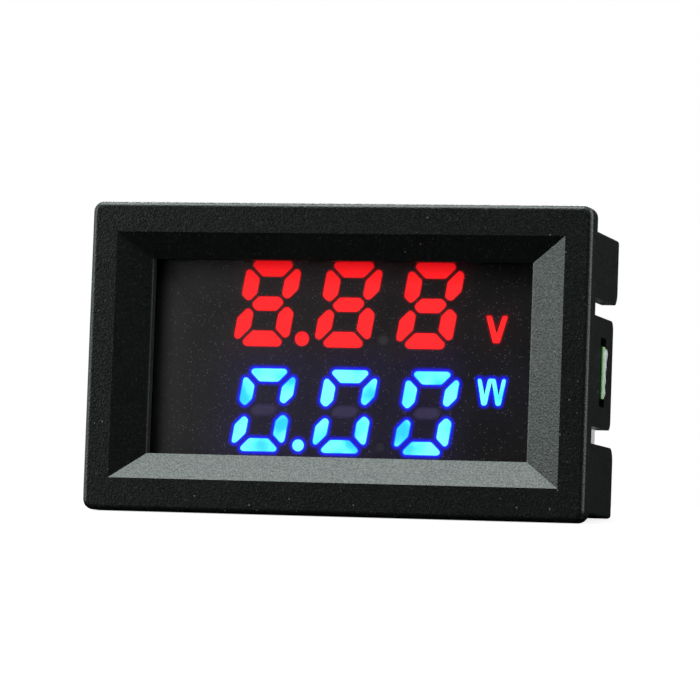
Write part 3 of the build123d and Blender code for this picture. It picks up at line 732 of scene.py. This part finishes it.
wire_low, wire_high = box_mm("shunt_wire")
wire_radius = (wire_high[2] - wire_low[2]) / 2
wire_z = (wire_low[2] + wire_high[2]) / 2
legs = np.array([[wire_low[0] + wire_radius, wire_z], [wire_high[0] - wire_radius, wire_z]])
collar_radius = wire_radius + np.array([0.75, 0.6, 0.38, 0.2, 0.08, 0.02, -0.1])
collar_height = BACK + np.array([0.0, 0.07, 0.2, 0.38, 0.6, 0.78, 0.8])
on_board("shunt_solder", turned(legs, collar_radius, collar_height, around=32), solder, "tinned_metal")

# %% Pads under the leads and the small chips
LEAD_REACH, SMALL_REACH, TAB_REACH, DIODE_REACH = 0.82, 0.8, 0.5, 0.15


def row_at(along, z):
    """A row of places (x, z) at one height on the board."""
    return np.stack([along, np.full(len(along), z)], -1)


chip_leads = {"driver_chip": (8, 1.27, 0.4), "controller_chip": (10, 0.65, 0.24), "amplifier_chip": (4, 1.27, 0.4)}
pad_places, pad_halves, pad_rows = [], [], {}
for chip, (count, pitch, width) in chip_leads.items():
    chip_low, chip_high = box_mm(chip)
    lead_x = (chip_low[0] + chip_high[0]) / 2 + (np.arange(count) - (count - 1) / 2) * pitch
    for side, z_side in ((-1, chip_low[2]), (1, chip_high[2])):
        pad_rows[chip, side] = row_at(lead_x, z_side + side * LEAD_REACH)
        pad_places.append(pad_rows[chip, side])
        pad_halves.append(np.tile([width / 2 + 0.07, 0.48], (count, 1)))
small_x = {"chip_resistors": np.arange(-3, 4) * 1.9, "chip_capacitors": (np.arange(6) - 2.5) * 2.4}
small_rows = {}
for name, along in small_x.items():
    part_low, part_high = box_mm(name)
    small_rows[name] = (part_low[2] + part_high[2]) / 2
    for side in (-1, 1):
        pad_rows[name, side] = row_at(along, small_rows[name] + side * SMALL_REACH)
        pad_places.append(pad_rows[name, side])
        pad_halves.append(np.tile([0.5, 0.42], (len(along), 1)))
regulator_low, regulator_high = box_mm("regulator_chip")
diode_low, diode_high = box_mm("input_diode")
regulator_x = (regulator_low[0] + regulator_high[0]) / 2
diode_x = (diode_low[0] + diode_high[0]) / 2
pad_places.append(row_at(regulator_x + np.array([-1.5, 0, 1.5]), regulator_low[2] - TAB_REACH))
pad_halves.append(np.tile([0.42, 0.62], (3, 1)))
tab = (regulator_x, regulator_high[2] + TAB_REACH)
pad_places.append([tab, (diode_x, diode_low[2] - DIODE_REACH), (diode_x, diode_high[2] + DIODE_REACH)])
pad_halves.append([[1.1, 0.62], [0.95, 0.55], [0.95, 0.55]])
pads = domed(np.concatenate(pad_places), np.concatenate(pad_halves), 0.05, BACK)
on_board("solder_pads", pads, solder, "tinned_metal")

# %% [markdown]
# Each track leaves a lead or a pad straight, bends once at 45 degrees and ends at another pad or at a plated
# hole. Short routes that never cross are what a two-sided board shows on its busy side, since everything
# else runs on the other side.

# %% Tracks
def route(start, end, lead=0.35):
    """A path (x, z) that leaves start straight along Z, bends once by 45 degrees and goes straight on to end."""
    start, end = np.asarray(start, float), np.asarray(end, float)
    down = np.sign(end[1] - start[1])
    bend = start + (0, down * lead)
    return [start, bend, (end[0], bend[1] + down * abs(end[0] - start[0])), end]


upper_pins, lower_pins = row_at(pin_x, pin_rows[1]), row_at(pin_x, pin_rows[0])
resistor_top, resistor_foot = pad_rows["chip_resistors", 1], pad_rows["chip_resistors", -1]
capacitor_top, capacitor_foot = pad_rows["chip_capacitors", 1], pad_rows["chip_capacitors", -1]
controller_top, controller_foot = pad_rows["controller_chip", 1], pad_rows["controller_chip", -1]
amplifier_top, amplifier_foot = pad_rows["amplifier_chip", 1], pad_rows["amplifier_chip", -1]
driver_top, driver_foot = pad_rows["driver_chip", 1], pad_rows["driver_chip", -1]
steps = np.arange(8)

pad_routes = [route(pin, pad, 0.7) for pin, pad in zip(upper_pins, resistor_top)]
pad_routes += [route(resistor_foot[i], controller_top[lead]) for i, lead in ((0, 1), (1, 4), (2, 6))]
pad_routes += [route(resistor_foot[i], amplifier_top[lead]) for i, lead in ((5, 1), (6, 2))]
pad_routes += [route(capacitor_top[i], controller_foot[lead]) for i, lead in ((0, 0), (1, 4), (2, 8))]
pad_routes += [route(capacitor_top[i], amplifier_foot[lead]) for i, lead in ((4, 1), (5, 2))]
pad_routes += [route(capacitor_foot[i], lower_pins[pin]) for i, pin in enumerate((0, 1, 2, 4, 5, 6))]

hole_routes = [
    *zip(driver_top, driver_top + np.stack([np.full(8, -0.6), 1.3 + 0.26 * steps], -1)),
    *zip(driver_foot, driver_foot - np.stack([np.zeros(8), 1.0 + 0.65 * (steps % 2)], -1)),
    *zip(lower_pins, lower_pins - np.stack([np.zeros(PIN_COUNT), 1.5 + 0.8 * (steps[:PIN_COUNT] % 2)], -1)),
    (resistor_foot[3], (0.75, 2.3)),
    (resistor_foot[4], (1.75, 1.2)),
    (amplifier_top[0], amplifier_top[0] + (0, 1.1)),
    (amplifier_top[3], amplifier_top[3] + (0.4, 1.2)),
    (amplifier_foot[0], amplifier_foot[0] - (0.45, 1.1)),
    (amplifier_foot[3], amplifier_foot[3] - (-0.45, 1.1)),
    (capacitor_top[3], (1.2, -2.4)),
    (controller_foot[2], controller_foot[2] - (0, 1.2)),
    (controller_foot[6], controller_foot[6] - (0.2, 1.2)),
]
tracks = pad_routes + [route(start, end) for start, end in hole_routes]
track_green = moulded("track_green", (0.016, 0.15, 0.05), (0.024, 0.2, 0.07), (0.2, 0.32), 2.5, 0.004)[0]
on_board("board_tracks", ribbed(tracks, 0.26, 0.025, BACK), track_green, "green_board", smooth=False)

broad_tracks = [
    *([leg, leg - (0, 4.0)] for leg in legs),
    [(diode_x, diode_high[2]), (diode_x, tab[1]), tab],
    [(diode_x, diode_low[2]), (diode_x, legs[1, 1])],
]
on_board("power_tracks", ribbed(broad_tracks, 1.7, 0.03, BACK), track_green, "green_board", smooth=False)

# %% Plated holes
BORE = 0.19
lone_holes = [
    (8.9, 6.4), (8.9, 8.4), (-8.6, 8.6), (-19.9, 5.6), (8.4, -6.2),
    (8.4, -8.6), (-9.3, -10.4), (9.2, -10.8), (-20.2, -4.2),
]
hole_places = np.array([*(end for _, end in hole_routes), *lone_holes], float)
ring_radius = np.array([0.36, 0.34, 0.22, 0.19, 0.18])
ring_height = BACK + np.array([0.0, 0.035, 0.035, 0.02, 0.0])
on_board("plated_rings", turned(hole_places, ring_radius, ring_height, around=16), solder, "tinned_metal")
bores = domed(hole_places, np.full(hole_places.shape, BORE), 0.004, BACK, power=2.0, rings=2)
on_board("plated_holes", bores, plastic["chip_black"], "chip_black")

# %% [markdown]
# White ink on the board shows where each part goes: outlines, a bar at the diode's band, a dot at each chip's
# first lead and plus and minus signs at the headers. It is thick ink, so it is made of low ribs like the
# tracks, but thinner, with worn, uneven white.

# %% White ink
def outline(low, high, gap):
    """Closed rectangle (x, z) round a box in mm, a gap away."""
    x0, x1, z0, z1 = low[0] - gap, high[0] + gap, low[2] - gap, high[2] + gap
    return [(x0, z0), (x1, z0), (x1, z1), (x0, z1), (x0, z0)]


def plus(x, z, size):
    """A plus sign as two strokes."""
    return [[(x - size, z), (x + size, z)], [(x, z - size), (x, z + size)]]


ink_lines = []
for gap, names in (
    (0.3, ("supply_header", "load_header", "voltage_trimmer_body", "current_trimmer_body")),
    (-0.1, chip_leads),
    (0.35, ("regulator_chip", "input_diode")),
):
    ink_lines += [outline(*box_mm(name), gap) for name in names]
ink_lines.append([(diode_low[0] - 0.35, diode_high[2] + 0.75), (diode_high[0] + 0.35, diode_high[2] + 0.75)])
for name, along in small_x.items():
    for x_here in along:
        for side in (-1, 1):
            edge = x_here + side * 0.72
            ink_lines.append([(edge, small_rows[name] - 0.5), (edge, small_rows[name] + 0.5)])
supply_low, supply_high = box_mm("supply_header")
load_low, load_high = box_mm("load_header")
ink_lines += plus(supply_low[0] + 2.4, supply_high[2] + 1.1, 0.45)
ink_lines.append([(supply_high[0] - 2.8, supply_high[2] + 1.1), (supply_high[0] - 1.9, supply_high[2] + 1.1)])
ink_lines += plus(load_low[0] + 4.5, load_high[2] + 0.95, 0.4)
white_ink = moulded("white_ink", (0.62, 0.64, 0.6), (0.8, 0.81, 0.78), (0.5, 0.65), 7.0, 0.006)[0]
on_board("board_ink", ribbed(ink_lines, 0.16, 0.014, BACK), white_ink, "header_white", smooth=False)
dots = np.array([pad_rows[chip, -1][-1] + (0.75, -0.25) for chip in chip_leads])
on_board("ink_dots", domed(dots, np.full(dots.shape, 0.22), 0.012, BACK, power=2.0), white_ink, "header_white")

# %% [markdown]
# ## Chips
# A chip's body is pressed in two halves, so its sides lean in from the line where the leads come out. It is
# a stack of rounded-square rings: small at the board, widest at the leads, smaller at the top. A round spot,
# low and paler than the body, marks the corner of the first lead.

# %% Chip bodies
def pressed_body(name, taper=0.09, around=64, power=14.0):
    """Stack of superellipse rings through the box of a CAD chip: its sides lean in from the middle."""
    low, high = box_mm(name)
    centre, half = (low + high) / 2, (high - low) / 2
    level = np.array([0.0, 0.0, 0.44, 0.56, 0.97, 1.0, 1.0, 1.0])
    inset = np.array([9.0, taper, 0.0, 0.0, taper, taper + 0.05, 0.5, 9.0])
    size = np.maximum(half[[0, 2]] - inset[:, None], 0)
    rings = centre[[0, 2]] + superellipse(around, power) * size[:, None]
    rise = low[1] + level * (high[1] - low[1])
    return raised(rings, rise[:, None]), quads(len(level), around, ring=True)


for chip in (*chip_leads, "regulator_chip", "input_diode"):
    piece(chip + "_body", *pressed_body(chip), plastic["chip_black"], "chip_black", replaces=[chip])

# %% Corner spots
SPOT_INSET, SPOT_RADIUS = 0.75, 0.28
dimple_grey = moulded("dimple_grey", (0.05, 0.05, 0.052), (0.07, 0.07, 0.073), (0.3, 0.4), 8.0, 0.004)[0]
chip_lows, chip_highs = np.moveaxis([box_mm(chip) for chip in chip_leads], 1, 0)
spots = np.stack([chip_highs[:, 0] - SPOT_INSET, chip_lows[:, 2] + SPOT_INSET], -1)
shapes, faces = domed(spots, np.full(spots.shape, SPOT_RADIUS), 0.012, 0.0, power=2.0, around=24)
shapes[..., 1] += chip_highs[:, 1, None]
on_board("chip_dimples", (shapes, faces), dimple_grey, "chip_black")

# %% [markdown]
# ## Shunt wire
# The shunt is one piece of alloy wire bent to a staple. Its line is two legs, two quarter bends and the
# crown, and a circle is carried along it: the bend's plane is level, so the circle needs only the line's
# normal in that plane and the vertical.

# %% Shunt wire
BEND = 1.8
WIRE_SIDES = 28


def carried(line, radius, around):
    """A circle carried along a level line (x, y): the line's normal times the cosine of the angle round the
    wire, plus the vertical times its sine, both times the radius, which is 0 at the two closed ends."""
    run = np.gradient(line, axis=0)
    run /= np.linalg.norm(run, axis=1)[:, None]
    line, run = (np.concatenate([a[:1], a, a[-1:]])[:, None] for a in (line, run))
    girth = np.full((len(line), 1, 1), radius)
    girth[[0, -1]] = 0
    across, rise = np.moveaxis(girth * superellipse(around, 2.0), -1, 0)
    points = np.stack([line[..., 0] - run[..., 1] * across, line[..., 1] + run[..., 0] * across, rise], -1)
    return points, quads(len(line), around, ring=True)


left, right_leg, crown = legs[0, 0], legs[1, 0], wire_high[1] - wire_radius
turn = np.linspace(0, np.pi / 2, 10)
line = np.concatenate([
    [[left, wire_low[1]]],
    np.stack([left + BEND * (1 - np.cos(turn)), crown - BEND * (1 - np.sin(turn))], -1),
    np.stack([right_leg - BEND * (1 - np.sin(turn)), crown - BEND * (1 - np.cos(turn))], -1),
    [[right_leg, wire_low[1]]],
])
points, faces = carried(line, wire_radius, WIRE_SIDES)
piece("shunt_staple", points + (0, 0, wire_z), faces, alloy, "shunt_alloy", replaces=["shunt_wire"])

# %% [markdown]
# ## Adhesive bead
# A smear of clear adhesive holds the board's ear in the tongue's slot. It is a shallow dome over an uneven
# strip, broad at the top: its far edge is the sum of a few waves.

# %% Adhesive bead
def smear(low, high, rows, columns):
    """A dome over a strip up the box of the bead. The strip's breadth is a power of the height plus two waves,
    drawn in at both ends. The dome falls off with the fourth power of the way from the strip's middle, is drawn
    in at both ends too, and swells with a third wave."""
    along, across = np.linspace(0, 1, rows)[:, None], np.linspace(0, 1, columns)
    size = high - low
    broad = 0.4 + 0.95 * along**2.2 + 0.07 * np.sin(17 * along) + 0.05 * np.sin(41 * along + 1.0)
    broad = np.minimum(broad, size[1]) * np.clip(np.sin(np.pi * (0.03 + 0.94 * along)) * 6, 0, 1) ** 0.5
    swell = np.clip(np.sin(np.pi * along) * 4, 0, 1) * (0.75 + 0.25 * np.sin(23 * along))
    thick = size[0] * (1 - (2 * across - 1) ** 4) * swell
    return low + np.stack(np.broadcast_arrays(thick, broad * across, size[2] * along), -1), quads(rows, columns)


points, faces = smear(*box_mm("adhesive_bead"), 60, 14)
adhesive = moulded("adhesive", (0.5, 0.58, 0.6), (0.72, 0.78, 0.8), (0.15, 0.35), 1.5, 0.03)[0]
piece("adhesive_smear", points, faces, adhesive, "adhesive", towards=(1, 0, 0), replaces=["adhesive_bead"])

# %% [markdown]
# ## Floor, backdrop and light
# The meter rests on the lower edge of its bezel and on the end of its sleeve, so it leans back by a little over
# three degrees and the floor is the plane through both. The floor and the world are white to the camera and
# to reflections, and the floor still darkens in the shadow. One large soft light hangs overhead, a small one
# stands close at the left, and two more light the right side and the back. Black cards, seen only by
# reflections, keep the dark room of a studio in the faces of the black moulding.

# %% Floor
LEAN = 1.0 / 17.1
FOOT = -14.5
FLOOR_GAP = 0.02


def on_floor(y, lift=0.0):
    """A place (y, z) in mm on the leaning floor, or lifted from it."""
    return y, FOOT + LEAN * y - FLOOR_GAP + lift


def studio_sheet(name, across, near, far, material):
    """A flat sheet of the studio: its span in X, and (y, z) of its near and far edge, in mm."""
    corners = [(x, *edge) for x, edge in zip((*across, *across[::-1]), (near, near, far, far))]
    mesh = bpy.data.meshes.new(name)
    mesh.from_pydata((np.array(corners, float) * MM).tolist(), [], [(0, 1, 2, 3)])
    sheet = bpy.data.objects.new(name, mesh)
    scene.collection.objects.link(sheet)
    mesh.materials.append(material)
    return sheet


def matt_sheet(name, dark, light, scale):
    """A matt finish of two greys mixed by noise: the material, its tree and the shader."""
    material, tree, shader = new_finish(name)
    place = add(tree, "TexCoord").outputs["Object"]
    mottled = add(tree, "TexNoise", {"Vector": place, "Scale": scale}).outputs[0]
    feed(shader, "Base Color", blend(mottled, (dark,) * 3, (light,) * 3))
    feed(shader, "Roughness", 1.0)
    feed(shader, "Specular IOR Level", 0.0)
    return material, tree, shader


def seen_directly(tree):
    """1 for camera, glossy and transmission rays."""
    rays = add(tree, "LightPath").outputs
    direct = calc("MAXIMUM", rays["Is Camera Ray"], rays["Is Glossy Ray"])
    return calc("MAXIMUM", direct, rays["Is Transmission Ray"])


floor_white, tree, shader = matt_sheet("floor_white", 0.25, 0.27, 60.0)
feed(shader, "Emission Color", (1, 1, 1, 1))
feed(shader, "Emission Strength", calc("MULTIPLY", seen_directly(tree), 0.82))
clear = add(tree, "BsdfTransparent").outputs[0]
from_below = add(tree, "NewGeometry").outputs["Backfacing"]
facing = add(tree, "MixShader", {0: from_below, 1: shader.outputs[0], 2: clear})
feed(tree.nodes["Material Output"], 0, facing.outputs[0])
studio_sheet("floor", (-500, 500), on_floor(-600), on_floor(60), floor_white)
print("floor leans", round(float(np.degrees(np.arctan(LEAN))), 2), "degrees")

# %% World
world = bpy.data.worlds.new("studio")
scene.world = world
world.use_nodes = True
tree = world.node_tree
tree.nodes.clear()
dim = add(tree, "Background", {"Color": (0.9, 0.95, 1.0, 1), "Strength": 0.10})
white = add(tree, "Background", {"Color": (1, 1, 1, 1), "Strength": 1.0})
mixed = add(tree, "MixShader", {0: seen_directly(tree), 1: dim.outputs[0], 2: white.outputs[0]})
add(tree, "OutputWorld", {0: mixed.outputs[0]})
print("world:", world.name)

# %% Lamps and black cards
def soft_light(name, direction, distance, size, watts):
    """A rectangular lamp in a direction from the meter, distance and size in mm, aimed at its middle."""
    lamp = bpy.data.lights.new(name, "AREA")
    lamp.shape = "RECTANGLE"
    lamp.size, lamp.size_y = size[0] * MM, size[1] * MM
    lamp.energy = watts
    holder = bpy.data.objects.new(name, lamp)
    scene.collection.objects.link(holder)
    away = Vector(direction).normalized()
    holder.location = away * distance * MM
    holder.rotation_euler = away.to_track_quat("Z", "Y").to_euler()


soft_light("overhead_softbox", (-0.27, -0.36, 0.89), 380, (330, 260), 1.9)
soft_light("left_softbox", (-0.80, -0.52, 0.20), 260, (130, 150), 0.245)
soft_light("right_softbox", (0.93, 0.20, 0.30), 400, (460, 420), 1.15)
soft_light("back_softbox", (-0.15, 0.80, 0.58), 420, (260, 220), 1.6)

card_black = matt_sheet("card_black", 0.002, 0.004, 900.0)[0]
CARDS = {
    "card_front": ((-600, 600), (-320, -60), (-320, 520)),
    "card_low": ((-500, 500), on_floor(-310, 3), on_floor(0.1, 0.01)),
    "card_right": ((-22, 500), on_floor(0.1, 0.01), on_floor(320, 0.01)),
    "card_behind_right": ((0, 600), (320, -80), (320, 320)),
    "card_behind_left": ((-600, -65), (320, -80), (320, 320)),
}
for name, edges in CARDS.items():
    card = studio_sheet(name, *edges, card_black)
    card.visible_camera = card.visible_diffuse = card.visible_shadow = card.visible_transmission = False
scene.view_settings.view_transform = "Standard"

# %% Finish
print("scene set up")
